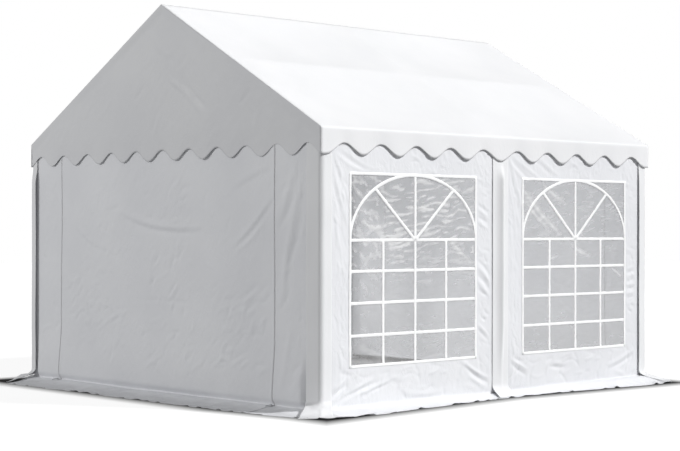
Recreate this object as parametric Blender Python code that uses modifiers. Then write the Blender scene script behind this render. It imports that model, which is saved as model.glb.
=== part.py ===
"""A white PVC marquee tent of two bays on a frame of galvanised steel tube.

The frame is six posts with foot plates and head fittings, three ridge fittings, rafters,
purlins, eave rails, ridge rails and gable ties. The cover is two roof slopes, two gables, valances
with scalloped edges, wall panels, window films, corner and middle strips and ground flaps.

Metres, +Z up. +X runs across the gable, +Y along the ridge. The origin is on the ground
in the middle of the plan.
"""

import math

import bmesh
import bpy
from mathutils import Matrix, Vector

# Driving dimensions
WIDTH = 4.0
LENGTH = 4.0
EAVE_HEIGHT = 2.16
RIDGE_HEIGHT = 3.26
TUBE_RADIUS = 0.019
SHEET = 0.003
GAP = 0.0003

# Frame details
TUBE_SIDES = 16
STUB_LENGTH = 0.12
STUB_OVERRUN = 0.004
SLOPE_STUB_RADIUS = 0.0175
RAIL_STUB_RADIUS = 0.0170
TIE_STUB_RADIUS = 0.0165
PURLIN_X = 0.93
FOOT_PLATE = 0.12
FOOT_PLATE_THICKNESS = 0.005

# Scalloped valance: the height of the notches and wave bottoms below the eave
NOTCH_DROP = 0.115
WAVE_DROP = 0.205
GABLE_PITCH = 0.368
SIDE_PITCH = 0.3855
SIDE_FIRST_NOTCH = 0.213
POINTS_PER_METRE = 24

# Walls
VALANCE_STAND_OFF = 0.021
FOLD_HEIGHT = 0.055
WALL_TOP = 2.16
DOOR_HALF_WIDTH = 1.4825
WINDOW_CENTRES = {"front": -0.9865, "back": 0.9865}
WINDOW_WIDTH = 1.42
WINDOW_BOTTOM = 0.346
WINDOW_TOP = 1.814
FILM_OVERLAP = 0.02
FILM = 0.001

# Ground flaps, whose corners are cut off across, and the strips over the walls' edges
END_FLAP_REACH = 0.30
SIDE_FLAP_REACH = 0.25
FLAP_CORNER = 0.164
FLAP_STEPS = 8
STRIP_ON_GABLE = 0.155
STRIP_ON_SIDE = 0.115
MIDDLE_STRIP_HALF = 0.095
STRIP_TOP = 2.08

# Derived planes
HALF_WIDTH = WIDTH / 2
HALF_LENGTH = LENGTH / 2
SLOPE = math.atan2(RIDGE_HEIGHT - EAVE_HEIGHT, HALF_WIDTH)
WALL_OUTER = HALF_WIDTH - VALANCE_STAND_OFF
WALL_INNER = WALL_OUTER - SHEET
END_OUTER = HALF_LENGTH - VALANCE_STAND_OFF
END_INNER = END_OUTER - SHEET
POST_X = WALL_INNER - GAP - TUBE_RADIUS
POST_Y = END_INNER - GAP - TUBE_RADIUS
ROOF_THICKNESS_UPRIGHT = SHEET / math.cos(SLOPE)
TUBE_BELOW_ROOF = (SHEET + GAP + TUBE_RADIUS) / math.cos(SLOPE)
RIDGE_Z = RIDGE_HEIGHT - TUBE_BELOW_ROOF
EAVE_Z = RIDGE_Z - POST_X * math.tan(SLOPE)
SIDES = {"right": 1, "left": -1}
ENDS = {"front": -1, "back": 1}
FRAMES = {"front": -1, "middle": 0, "back": 1}

COVER_WHITE = (0.86, 0.87, 0.88)
WALL_WHITE = (0.80, 0.81, 0.83)
FILM_GREY = (0.55, 0.56, 0.57)
GALVANISED = (0.52, 0.54, 0.56)


def clear_scene():
    for old in list(bpy.data.objects):
        bpy.data.objects.remove(old)


def new_collection(name):
    collection = bpy.data.collections.new(name)
    bpy.context.scene.collection.children.link(collection)
    return collection


def make_material(name, colour, roughness, metallic=0.0):
    material = bpy.data.materials.new(name)
    material.use_nodes = True
    shader = material.node_tree.nodes["Principled BSDF"]
    shader.inputs["Base Color"].default_value = (*colour, 1.0)
    shader.inputs["Roughness"].default_value = roughness
    shader.inputs["Metallic"].default_value = metallic
    return material


def add_object(name, data, collection, colour, roughness=0.5, metallic=0.0):
    thing = bpy.data.objects.new(name, data)
    data.materials.append(make_material(name + "_finish", colour, roughness, metallic))
    collection.objects.link(thing)
    return thing


def flat_outline(name, outlines, thickness):
    """A filled 2D curve, extruded to the given thickness; outlines after the first are holes."""
    curve = bpy.data.curves.new(name, "CURVE")
    curve.dimensions = "2D"
    curve.fill_mode = "BOTH"
    curve.extrude = thickness / 2
    for points in outlines:
        spline = curve.splines.new("POLY")
        spline.points.add(len(points) - 1)
        for point, (x, y) in zip(spline.points, points):
            point.co = (x, y, 0.0, 1.0)
        spline.use_cyclic_u = True
    return curve


def rectangle(left, right, bottom, top):
    return [(left, bottom), (right, bottom), (right, top), (left, top)]


def stand_along_y(x):
    """Turns an outline so that its x runs along +Y and its y upwards, at this X."""
    return Matrix(((0, 0, 1, x), (1, 0, 0, 0), (0, 1, 0, 0), (0, 0, 0, 1)))


def stand_along_x(y):
    """Turns an outline so that its x runs along +X and its y upwards, at this Y."""
    return Matrix(((1, 0, 0, 0), (0, 0, -1, y), (0, 1, 0, 0), (0, 0, 0, 1)))


def cover_panel(name, outlines, thickness, place, collection, colour=WALL_WHITE):
    panel = add_object(name, flat_outline(name, outlines, thickness), collection, colour)
    panel.matrix_world = place
    return panel


def steel_tube(name, start, end, collection):
    """A straight tube as a curve with a round bevel and filled ends."""
    curve = bpy.data.curves.new(name, "CURVE")
    curve.dimensions = "3D"
    curve.bevel_depth = TUBE_RADIUS
    curve.bevel_resolution = 2
    curve.use_fill_caps = True
    spline = curve.splines.new("POLY")
    spline.points.add(1)
    spline.points[0].co = (*start, 1.0)
    spline.points[1].co = (*end, 1.0)
    return add_object(name, curve, collection, GALVANISED, 0.4, 0.9)


def rod_mesh(name, start, end, radius):
    """A cylinder from start to end, for joining with others."""
    run = Vector(end) - Vector(start)
    turn = run.to_track_quat("Z", "Y").to_matrix().to_4x4()
    place = Matrix.Translation((Vector(start) + Vector(end)) / 2) @ turn
    shape = bmesh.new()
    bmesh.ops.create_cone(
        shape,
        cap_ends=True,
        segments=TUBE_SIDES,
        radius1=radius,
        radius2=radius,
        depth=run.length,
        matrix=place,
    )
    mesh = bpy.data.meshes.new(name)
    shape.to_mesh(mesh)
    shape.free()
    return mesh


def plate_mesh(name, centre, size):
    shape = bmesh.new()
    bmesh.ops.create_cube(shape, matrix=Matrix.Translation(centre) @ Matrix.Diagonal((*size, 1)))
    mesh = bpy.data.meshes.new(name)
    shape.to_mesh(mesh)
    shape.free()
    return mesh


def join_to(body, meshes, helpers):
    """Joins the meshes to the body, one Boolean union each, with the helpers kept hidden."""
    for mesh in meshes:
        helper = bpy.data.objects.new(mesh.name, mesh)
        helpers.objects.link(helper)
        helper.hide_render = True
        helper.display_type = "WIRE"
        union = body.modifiers.new(mesh.name, "BOOLEAN")
        union.operation = "UNION"
        union.object = helper


def towards(start, direction, length):
    return Vector(start) + Vector(direction).normalized() * length


def slope_down(side):
    """The direction that runs down the roof slope on this side."""
    return Vector((side * math.cos(SLOPE), 0, -math.sin(SLOPE)))


def stub_mesh(name, centre, direction, radius):
    """A stub that leaves a fitting's centre, and starts a little behind it."""
    start = towards(centre, -Vector(direction), STUB_OVERRUN)
    return rod_mesh(name, start, towards(centre, direction, STUB_LENGTH), radius)


def rail_stub_mesh(name, centre, frame):
    """The stub for the rails along Y: right through a middle fitting, inwards from an end one."""
    if frame:
        return stub_mesh(name, centre, (0, -frame, 0), RAIL_STUB_RADIUS)
    reach = Vector((0, STUB_LENGTH, 0))
    return rod_mesh(name, centre - reach, centre + reach, RAIL_STUB_RADIUS)


def head_point(side, frame):
    return Vector((side * POST_X, frame * POST_Y, EAVE_Z))


def ridge_point(frame):
    return Vector((0, frame * POST_Y, RIDGE_Z))


def make_post(side_name, frame_name, parts, helpers):
    side = SIDES[side_name]
    frame = FRAMES[frame_name]
    name = f"post_{frame_name}_{side_name}"
    head = head_point(side, frame)
    foot = Vector((head.x, head.y, FOOT_PLATE_THICKNESS / 2))
    top = towards(head, (0, 0, 1), STUB_OVERRUN)
    post = add_object(
        name, rod_mesh(name, foot, top, TUBE_RADIUS), parts, GALVANISED, 0.4, 0.9
    )
    plate_size = (FOOT_PLATE, FOOT_PLATE, FOOT_PLATE_THICKNESS)
    pieces = [
        plate_mesh(name + "_plate", foot, plate_size),
        stub_mesh(name + "_slope_stub", head, -slope_down(side), SLOPE_STUB_RADIUS),
        rail_stub_mesh(name + "_rail_stub", head, frame),
    ]
    if frame:
        pieces.append(stub_mesh(name + "_tie_stub", head, (-side, 0, 0), TIE_STUB_RADIUS))
    join_to(post, pieces, helpers)


def make_ridge_fitting(frame_name, parts, helpers):
    frame = FRAMES[frame_name]
    name = f"ridge_fitting_{frame_name}"
    top = ridge_point(frame)
    right_stub = stub_mesh(name, top, slope_down(1), SLOPE_STUB_RADIUS)
    fitting = add_object(name, right_stub, parts, GALVANISED, 0.4, 0.9)
    pieces = [
        stub_mesh(name + "_left_stub", top, slope_down(-1), SLOPE_STUB_RADIUS),
        rail_stub_mesh(name + "_rail_stub", top, frame),
    ]
    join_to(fitting, pieces, helpers)


def make_tube_between(name, start, end, parts):
    """A tube that meets the stubs of the two fittings it runs between."""
    reach = STUB_LENGTH + GAP
    first = towards(start, end - start, reach)
    last = towards(end, start - end, reach)
    steel_tube(name, first, last, parts)


def make_purlins(parts):
    """Tubes half way down each slope, each from the side of one rafter to the next."""
    height = RIDGE_Z - PURLIN_X * math.tan(SLOPE)
    beside_rafter = TUBE_RADIUS + GAP
    for end_name, end in ENDS.items():
        for side_name, side in SIDES.items():
            inner = Vector((side * PURLIN_X, end * beside_rafter, height))
            outer = Vector((side * PURLIN_X, end * (POST_Y - beside_rafter), height))
            steel_tube(f"purlin_{end_name}_{side_name}", inner, outer, parts)


def make_frame(parts, helpers):
    for frame_name in FRAMES:
        for side_name in SIDES:
            make_post(side_name, frame_name, parts, helpers)
        make_ridge_fitting(frame_name, parts, helpers)
    for frame_name, frame in FRAMES.items():
        for side_name, side in SIDES.items():
            name = f"rafter_{frame_name}_{side_name}"
            make_tube_between(name, head_point(side, frame), ridge_point(frame), parts)
    for end_name, end in ENDS.items():
        make_tube_between(f"ridge_rail_{end_name}", ridge_point(0), ridge_point(end), parts)
        make_tube_between(f"gable_tie_{end_name}", head_point(-1, end), head_point(1, end), parts)
        for side_name, side in SIDES.items():
            name = f"eave_rail_{end_name}_{side_name}"
            make_tube_between(name, head_point(side, 0), head_point(side, end), parts)
    make_purlins(parts)


def make_roof(parts):
    """Two slabs in the slope of the roof, which meet along the ridge."""
    for side_name, side in SIDES.items():
        ridge_x = side * GAP / 2
        eave_x = side * HALF_WIDTH
        outline = [
            (ridge_x, RIDGE_HEIGHT),
            (eave_x, EAVE_HEIGHT),
            (eave_x, EAVE_HEIGHT - ROOF_THICKNESS_UPRIGHT),
            (ridge_x, RIDGE_HEIGHT - ROOF_THICKNESS_UPRIGHT),
        ]
        place = stand_along_x(0)
        cover_panel(f"roof_{side_name}", [outline], LENGTH, place, parts, COVER_WHITE)


def wave(phase):
    """The valance's edge below the eave: a notch at whole phases, a wave bottom between."""
    middle = (NOTCH_DROP + WAVE_DROP) / 2
    swing = (WAVE_DROP - NOTCH_DROP) / 2
    return EAVE_HEIGHT - middle + swing * math.cos(2 * math.pi * phase)


def gable_edge(x):
    return wave(abs(x) / GABLE_PITCH)


def side_edge(y):
    """The side's waves start from a wider one at the middle post and end level at the corner."""
    past_first = abs(y) - SIDE_FIRST_NOTCH
    pitch = SIDE_PITCH if past_first > 0 else 2 * SIDE_FIRST_NOTCH
    return wave(min(past_first / pitch, 4.5))


def edge_points(edge, half):
    """Points from +half to -half along the scalloped edge."""
    count = round(2 * half * POINTS_PER_METRE)
    places = [half - 2 * half * i / count for i in range(count + 1)]
    return [(place, edge(place)) for place in places]


def under_roof(x):
    """The height just under the roof sheet at this distance across."""
    return RIDGE_HEIGHT - abs(x) * math.tan(SLOPE) - ROOF_THICKNESS_UPRIGHT - GAP


def make_gables_and_valances(parts):
    gable_half = HALF_WIDTH - SHEET - GAP
    for end_name, end in ENDS.items():
        top = [(-gable_half, under_roof(gable_half)), (0, under_roof(0))]
        top.append((gable_half, under_roof(gable_half)))
        outline = top + edge_points(gable_edge, gable_half)
        place = stand_along_x(end * (HALF_LENGTH - SHEET / 2))
        cover_panel(f"gable_{end_name}", [outline], SHEET, place, parts, COVER_WHITE)
    top_z = under_roof(HALF_WIDTH)
    for side_name, side in SIDES.items():
        outline = [(-HALF_LENGTH, top_z), (HALF_LENGTH, top_z)]
        outline += edge_points(side_edge, HALF_LENGTH)
        place = stand_along_y(side * (HALF_WIDTH - SHEET / 2))
        cover_panel(f"valance_{side_name}", [outline], SHEET, place, parts, COVER_WHITE)


def make_side_walls(parts):
    """Two panels a side, each with its window cut through, and a film behind each window."""
    bottom = FOLD_HEIGHT + SHEET + GAP
    top = min(WALL_TOP, under_roof(WALL_OUTER))
    window_half = WINDOW_WIDTH / 2
    film_half = window_half + FILM_OVERLAP
    for side_name, side in SIDES.items():
        wall_place = stand_along_y(side * (WALL_INNER + SHEET / 2))
        film_place = stand_along_y(side * (WALL_INNER - GAP - FILM / 2))
        for end_name, end in ENDS.items():
            centre = WINDOW_CENTRES[end_name]
            near, far = sorted((end * GAP / 2, end * (END_OUTER - GAP)))
            wall = rectangle(near, far, bottom, top)
            hole = rectangle(
                centre - window_half, centre + window_half, WINDOW_BOTTOM, WINDOW_TOP
            )
            film = rectangle(
                centre - film_half,
                centre + film_half,
                WINDOW_BOTTOM - FILM_OVERLAP,
                WINDOW_TOP + FILM_OVERLAP,
            )
            name = f"{end_name}_{side_name}"
            cover_panel(f"side_wall_{name}", [wall, hole], SHEET, wall_place, parts)
            cover_panel(f"window_{name}", [film], FILM, film_place, parts, FILM_GREY)


def make_end_walls(parts):
    """A zip-up door panel between two fixed panels at each end."""
    bottom = FOLD_HEIGHT + SHEET + GAP
    half = WALL_INNER - GAP
    seams = [-half, -DOOR_HALF_WIDTH, DOOR_HALF_WIDTH, half]
    for end_name, end in ENDS.items():
        place = stand_along_x(end * (END_INNER + SHEET / 2))
        for index, kind in enumerate(("wall_left", "door", "wall_right")):
            left = seams[index] + GAP / 2
            right = seams[index + 1] - GAP / 2
            outline = rectangle(left, right, bottom, WALL_TOP)
            cover_panel(f"{end_name}_{kind}", [outline], SHEET, place, parts)


def make_corner_strips(parts):
    """A strip wrapped round each corner, outside the walls."""
    inner = GAP
    outer = GAP + SHEET
    bottom = FOLD_HEIGHT + 2 * SHEET
    for end_name, end in ENDS.items():
        for side_name, side in SIDES.items():
            x_in, x_out = side * (WALL_OUTER + inner), side * (WALL_OUTER + outer)
            y_in, y_out = end * (END_OUTER + inner), end * (END_OUTER + outer)
            x_end = side * (HALF_WIDTH - STRIP_ON_GABLE)
            y_end = end * (HALF_LENGTH - STRIP_ON_SIDE)
            outline = [(x_end, y_out), (x_out, y_out), (x_out, y_end)]
            outline += [(x_in, y_end), (x_in, y_in), (x_end, y_in)]
            place = Matrix.Translation((0, 0, (bottom + STRIP_TOP) / 2))
            name = f"corner_strip_{end_name}_{side_name}"
            cover_panel(name, [outline], STRIP_TOP - bottom, place, parts)


def make_middle_strips(parts):
    """A strip over the edges where the two panels of a side wall meet."""
    outline = rectangle(
        -MIDDLE_STRIP_HALF, MIDDLE_STRIP_HALF, FOLD_HEIGHT + 2 * SHEET, STRIP_TOP
    )
    for side_name, side in SIDES.items():
        place = stand_along_y(side * (WALL_OUTER + GAP + SHEET / 2))
        cover_panel(f"middle_strip_{side_name}", [outline], SHEET, place, parts)


def make_ground_flap(name, half, base, reach, quarter_turns, parts):
    """A flap from the fold at a wall's foot, bulging out and down to lie on the ground.

    half is half the wall's length and base its distance from the middle of the tent.
    """
    shape = bmesh.new()
    bmesh.ops.create_grid(shape, x_segments=1, y_segments=FLAP_STEPS, size=1)
    for corner in shape.verts:
        out = reach * (corner.co.y + 1) / 2
        flare = min(out, 2 * FLAP_CORNER - out)
        height = FOLD_HEIGHT * math.cos(math.pi / 2 * out / reach)
        corner.co = ((half + flare - GAP) * corner.co.x, base + out, height)
    mesh = bpy.data.meshes.new(name)
    shape.to_mesh(mesh)
    shape.free()
    flap = add_object(name, mesh, parts, WALL_WHITE)
    flap.rotation_euler.z = quarter_turns * math.pi / 2
    thickness = flap.modifiers.new("sheet", "SOLIDIFY")
    thickness.thickness = SHEET
    thickness.offset = 1.0


def make_ground_flaps(parts):
    for end_name, turns in (("back", 0), ("front", 2)):
        name = f"ground_flap_{end_name}"
        make_ground_flap(name, WALL_INNER, END_INNER, END_FLAP_REACH, turns, parts)
    for side_name, turns in (("left", 1), ("right", 3)):
        name = f"ground_flap_{side_name}"
        make_ground_flap(name, END_INNER, WALL_INNER, SIDE_FLAP_REACH, turns, parts)


def main():
    clear_scene()
    parts = new_collection("marquee_tent")
    helpers = new_collection("helpers")
    make_frame(parts, helpers)
    make_roof(parts)
    make_gables_and_valances(parts)
    make_side_walls(parts)
    make_end_walls(parts)
    make_corner_strips(parts)
    make_middle_strips(parts)
    make_ground_flaps(parts)


main()
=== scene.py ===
"""The looks of a white PVC marquee tent: its sheets, windows, zips, strips, finishes and light.

A wall is made as if it faced -Y, with u along it, v up and out from its face, and is then
turned into place: "front" as it is, "right" and "back" turned about +Z, and "left" the mirror
image of "right".
"""

import math

import bpy
import numpy as np
from mathutils import Matrix, Vector


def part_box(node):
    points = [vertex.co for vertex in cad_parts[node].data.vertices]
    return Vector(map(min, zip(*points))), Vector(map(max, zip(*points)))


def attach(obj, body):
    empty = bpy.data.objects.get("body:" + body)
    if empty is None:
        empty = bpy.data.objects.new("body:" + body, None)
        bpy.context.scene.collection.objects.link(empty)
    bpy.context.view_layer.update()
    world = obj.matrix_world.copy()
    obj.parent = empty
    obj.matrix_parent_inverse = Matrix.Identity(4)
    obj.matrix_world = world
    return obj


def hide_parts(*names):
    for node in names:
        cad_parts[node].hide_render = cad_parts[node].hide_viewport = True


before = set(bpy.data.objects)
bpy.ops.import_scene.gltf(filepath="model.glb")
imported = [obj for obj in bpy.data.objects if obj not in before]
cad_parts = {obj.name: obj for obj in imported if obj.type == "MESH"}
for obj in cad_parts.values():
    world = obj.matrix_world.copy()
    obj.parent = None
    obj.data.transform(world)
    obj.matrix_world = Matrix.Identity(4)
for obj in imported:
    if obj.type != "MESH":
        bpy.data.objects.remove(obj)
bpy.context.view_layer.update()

# Sizes read from the solids
roof_low, roof_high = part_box("roof_right")
wall_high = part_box("side_wall_front_right")[1]
purlin_low, purlin_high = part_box("purlin_front_right")
HALF_WIDTH = roof_high.x
HALF_LENGTH = roof_high.y
RIDGE_HEIGHT = roof_high.z
EAVE_HEIGHT = roof_low.z + RIDGE_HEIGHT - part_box("gable_front")[1].z
SLOPE_TAN = (RIDGE_HEIGHT - EAVE_HEIGHT) / HALF_WIDTH
SLOPE = math.atan(SLOPE_TAN)
PURLIN_X = (purlin_low.x + purlin_high.x) / 2
WALL_FACE = wall_high.x
WALL_TOP = wall_high.z
DOOR_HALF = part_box("front_door")[1].x
DOOR_SHIFT = -0.034
STRIP_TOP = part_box("corner_strip_front_right")[1].z
FILM_OVERLAP = 0.02
PANEL_INSET = 0.005

# The folds of the back and left walls run the other way along them
MIRROR = {"front": 1, "right": 1, "back": -1, "left": -1}

# Scalloped edge of the valance
NOTCH_DROP = 0.115
WAVE_DROP = 0.205
GABLE_PITCH = 0.368
SIDE_PITCH = 0.3855
SIDE_FIRST_NOTCH = 0.213
SIDE_WAVES = 4.5

# Sheets
PVC = 0.002
COVER_SHEET = 0.0025
EAVE_RADIUS = 0.012
ROOF_SAG = 0.034
VALANCE_LEAN = 0.007
GABLE_DEPTH = 0.004

# Each ground flap's hem: places along the wall and how far out it lies there
END_HEM = (
    (-1.98, 0.0, 0.7, 1.2, 1.5, 1.75, 1.9, 1.98),
    (0.345, 0.345, 0.325, 0.325, 0.295, 0.255, 0.22, 0.21),
)
SIDE_HEM = (
    (-1.96, -1.85, -1.6, -1.375, -0.9, -0.4, -0.12, 0.38, 0.86, 1.35, 1.73),
    (0.249, 0.29, 0.254, 0.229, 0.182, 0.147, 0.12, 0.118, 0.162, 0.208, 0.251),
)
FLAP_CORNER = 0.164
FOOT_START = 0.13

# How far the fold of a ground flap hangs below its usual height
END_DROP = ((-2.0, 2.0), (0.028, 0.028))
SIDE_DROP = ((-1.98, -1.7, -1.2, -0.3, 0.7, 1.6), (0.015, 0.028, 0.036, 0.036, 0.014, 0.0))

# A wall's foot as (distance out, height), then its ground flap as (share of the reach, height)
FOOT_PATH = ((0.0, 0.13), (0.0, 0.11), (0.0, 0.09), (0.0, 0.076), (0.002, 0.067))
FLAP_PATH = ((0.04, 0.0605), (0.13, 0.0605), (0.26, 0.053), (0.45, 0.035), (0.65, 0.016))
HEM_PATH = ((0.82, 0.0075), (0.90, 0.0058), (0.915, 0.0072), (0.96, 0.0072), (1.0, 0.0068))

# Windows
BAR_WIDTH = 0.025
FRAME_WIDTH = 0.023
BAR_THICKNESS = 0.0022
BAR_HEIGHTS = (1.3085, 1.070, 0.827, 0.5795)
BAR_SHARES = (-0.5, 0.0, 0.5)
SPOKE_SHARE = 0.622
FRAME_INSETS = {"front": (0.010, 0.013), "back": (0.014, 0.018)}
FRAME_LIFTS = (0.002, 0.0035)
FILM_RIPPLE = 0.0015

# Zips: from the door's edge to its panel, and the hem beside it
ZIP_GAP = 0.003
ZIP_RADIUS = 0.0034
LIP_WIDTH = 0.023
LIP_HEIGHT = 0.003

# Strips: where they leave the wall, and where the valance begins to hold them flat
STRIP_FOOT = 0.12
TUCK_HEIGHT = 1.80

# Floor: its size, how strongly it glows, and how far past the walls the glow starts
FLOOR_SIZE = 90
FLOOR_GLOW = 0.86
SIDE_GLOW_START = 0.115

# Camera, in the photograph's own frame of 680 by 451 pixels
PHOTO_WIDTH = 680
FOCAL_PIXELS = 1634.09
CENTRE_OFFSET_PIXELS = 60
SENSOR_WIDTH = 36.0
CAMERA_PLACE = (11.0897, -10.0812, 1.4028)
CAMERA_AZIMUTH = math.radians(45.5889)
CAMERA_ELEVATION = math.radians(0.0881)
CAMERA_ROLL = math.radians(0.0828)

# How many random heights a noise has each way before it repeats
LATTICE = 64

# How bright the PVC stays under the painted shade on the end flaps, and under the painted shade low
# on the walls
FLAP_PAINTED_SHADE = 0.81
LOW_WALL_PAINTED_SHADE = 0.92

# The larger folds in millimetres: height, width, then u and v of each point of a line. A fold
# stands out along its line, and a step on its line's right. A streak has a strength, not a height.
END_STEPS = (
    (17, 26, 560, 1392, 180, 1384, -260, 1425, -640, 1528),
    (8, 16, -800, 1200, -950, 1235, -1100, 1285, -1360, 1440),
    (11, 22, 1460, 1660, 1300, 1510, 1120, 1362, 930, 1235),
    (6, 30, 1400, 1870, 1120, 1785, 920, 1700),
)
END_FOLDS = (
    (6, 18, 930, 1195, 1150, 1310, 1340, 1470), (-4, 13, 30, 1580, 107, 1747, 170, 1800),
    (-5, 13, 100, 1020, 177, 1230), (-6, 12, 70, 830, 200, 965), (5, 14, 100, 820, 225, 950),
    (-4, 10, -350, 790, -20, 800, 420, 785), (-5, 12, 1050, 845, 1235, 955),
    (5, 12, 1050, 800, 1250, 915), (-5, 12, 1080, 745, 1250, 840), (4, 12, 1100, 710, 1220, 775),
    (5, 12, -980, 490, -785, 603, -590, 680), (-5, 12, -760, 575, -580, 655),
    (-5, 13, -230, 270, -50, 390), (5, 13, -220, 220, 20, 355), (-5, 14, 920, 345, 1120, 440),
    (5, 14, 910, 300, 1100, 400), (5, 14, 400, 225, 580, 330), (-4, 12, 930, 540, 1120, 620),
    (10, 30, 1500, 1460, 1600, 1660, 1670, 1860),
    (12, 34, 1520, 800, 1590, 1200, 1650, 1430, 1760, 1800),
    (-9, 26, 1490, 1370, 1600, 1530, 1680, 1660),
    (-9, 28, 1580, 920, 1630, 1150, 1700, 1320, 1760, 1540),
    (-7, 24, 1500, 760, 1585, 860, 1630, 980), (9, 32, 1540, 120, 1600, 470, 1640, 680),
    (8, 28, 1650, 110, 1720, 200, 1800, 340),
)
GABLE_FOLDS = (
    (-5, 16, -200, 3010, -60, 2830), (5, 18, -150, 3020, -10, 2860),
    (4, 14, 10, 2900, 70, 2835, 160, 2850), (-6, 16, 90, 2600, 300, 2480),
    (7, 18, 110, 2630, 340, 2490), (-6, 18, 300, 2600, 450, 2480, 620, 2350),
    (5, 18, 260, 2560, 420, 2430, 540, 2330), (-5, 14, -370, 2480, -240, 2600),
    (-5, 14, -135, 2190, -65, 2380), (5, 14, -85, 2190, -20, 2360),
    (-5, 14, 1030, 2370, 1180, 2490), (5, 14, 770, 2420, 720, 2640),
    (-4, 12, 1190, 2220, 1195, 2320),
)
SIDE_FOLDS = (
    (-9, 16, -1875, 1960, -1830, 1860, -1760, 1700),
    (8, 16, -1860, 1980, -1800, 1860, -1730, 1740),
    (-7, 14, -1870, 1800, -1840, 1680, -1790, 1500),
    (7, 15, -1860, 1860, -1810, 1700, -1750, 1520),
    (-6, 12, -1870, 1640, -1860, 1500, -1840, 1320),
    (9, 18, -1860, 1980, -1690, 1880, -1480, 1820),
    (-8, 18, -1820, 1990, -1660, 1905, -1520, 1845),
    (6, 18, -1780, 2010, -1580, 1900, -1400, 1850),
    (-5, 15, -1800, 1600, -1755, 1320, -1700, 1200),
    (5, 15, -1830, 1440, -1780, 1220, -1740, 1050), (-10, 16, -1880, 115, -1720, 232),
    (9, 18, -1880, 160, -1740, 260), (-8, 15, -1880, 50, -1740, 122, -1600, 155),
    (-8, 16, -1710, 130, -1400, 222), (9, 17, -1680, 165, -1450, 245),
    (-8, 16, -1660, 90, -1450, 150, -1250, 207), (8, 17, -1620, 125, -1420, 185, -1240, 235),
    (-7, 13, -1200, 115, -1070, 72, -820, 58, -580, 80),
    (8, 20, -1200, 155, -1050, 110, -800, 95, -580, 120),
    (-11, 18, -430, 292, -280, 190, -130, 125), (10, 20, -470, 335, -300, 235, -130, 165),
    (9, 18, -380, 200, -250, 130, -130, 80), (-9, 18, -280, 1145, -190, 1090, -110, 1000),
    (11, 22, -280, 1095, -190, 1030, -110, 940), (-10, 20, -280, 1030, -190, 965, -110, 880),
    (11, 22, -280, 985, -190, 900, -110, 830), (-8, 16, -270, 905, -130, 835),
    (-8, 16, -270, 1600, -130, 1530), (8, 16, -270, 1560, -130, 1490),
    (-8, 16, -270, 1500, -130, 1440), (8, 16, -270, 1460, -130, 1390),
    (-8, 16, -270, 580, -130, 475), (8, 18, -270, 620, -130, 520),
    (12, 20, 150, 2010, 340, 1910, 560, 1800), (-10, 20, 130, 1980, 300, 1865, 480, 1760),
    (10, 20, 100, 1980, 200, 1890, 330, 1790), (-9, 20, 360, 2020, 520, 1940, 700, 1840),
    (10, 22, 480, 2010, 620, 1930, 780, 1840), (-9, 16, 110, 1940, 190, 1700, 250, 1500),
    (9, 18, 120, 2000, 220, 1750, 290, 1550), (7, 16, 100, 1840, 160, 1600, 210, 1400),
    (-9, 18, 130, 270, 340, 155), (8, 18, 130, 315, 360, 200),
    (-8, 18, 1440, 145, 1620, 190, 1830, 265), (9, 22, 1420, 180, 1620, 235, 1820, 310),
    (-8, 18, 620, 220, 850, 200), (7, 14, 1700, 1035, 1830, 1060),
    (-8, 13, 1700, 1000, 1830, 1020), (8, 13, 1700, 965, 1830, 985),
    (-8, 13, 1700, 925, 1830, 945), (8, 13, 1700, 890, 1830, 905), (-8, 13, 1700, 850, 1830, 870),
    (8, 13, 1700, 810, 1830, 830), (-8, 13, 1700, 770, 1830, 790), (7, 14, 1700, 720, 1830, 735),
)
FILM_STREAKS = (
    (900, 22, 250, 1770, 400, 1640, 550, 1510, 800, 1340),
    (700, 14, 300, 1660, 450, 1520, 660, 1370), (800, 18, 550, 1790, 680, 1700, 820, 1645),
    (800, 18, 900, 1290, 1050, 1200, 1200, 1160), (700, 13, 1480, 1060, 1670, 955),
    (600, 14, 620, 1130, 760, 1170), (700, 20, -600, 1300, -440, 1190, -330, 1130),
    (300, 22, -1620, 520, -1450, 440, -1300, 385),
    (600, 16, -1600, 1460, -1420, 1410, -1250, 1430),
    (600, 16, -1630, 1700, -1500, 1620, -1360, 1640),
)


def ease(x):
    """Rises smoothly from 0 to 1 as x does."""
    x = np.clip(x, 0.0, 1.0)
    return x * x * (3 - 2 * x)


def smooth_noise(u, v, size, seed):
    """Smooth random heights between -1 and 1, with bumps about as wide as size."""
    lattice = np.random.default_rng(seed).uniform(-1, 1, (LATTICE, LATTICE))
    x, y = np.asarray(u) / size + LATTICE, np.asarray(v) / size + LATTICE
    column, row = np.floor(x).astype(int), np.floor(y).astype(int)
    right, up = ease(x - column), ease(y - row)

    def at(i, j):
        return lattice[(column + i) % LATTICE, (row + j) % LATTICE]

    low = at(0, 0) * (1 - right) + at(1, 0) * right
    high = at(0, 1) * (1 - right) + at(1, 1) * right
    return low * (1 - up) + high * up


def dents(u, v, size, seed):
    """Shallow round dents with sharp rims between them, as in crumpled sheet: 0 deep, 1 high."""
    jitter = np.random.default_rng(seed).uniform(0, 1, (LATTICE, LATTICE, 2))
    x, y = np.asarray(u) / size + LATTICE, np.asarray(v) / size + LATTICE
    column, row = np.floor(x).astype(int), np.floor(y).astype(int)
    nearest = np.full(np.shape(x), 9.0)
    for i in (-1, 0, 1):
        for j in (-1, 0, 1):
            shift = jitter[(column + i) % LATTICE, (row + j) % LATTICE]
            away_x, away_y = column + i + shift[..., 0] - x, row + j + shift[..., 1] - y
            nearest = np.minimum(nearest, away_x**2 + away_y**2)
    return np.minimum(nearest, 1.0)


def turned_axes(u, v, angle):
    """The coordinates along and across lines that run at this angle."""
    return (
        u * math.cos(angle) + v * math.sin(angle),
        v * math.cos(angle) - u * math.sin(angle),
    )


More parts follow.
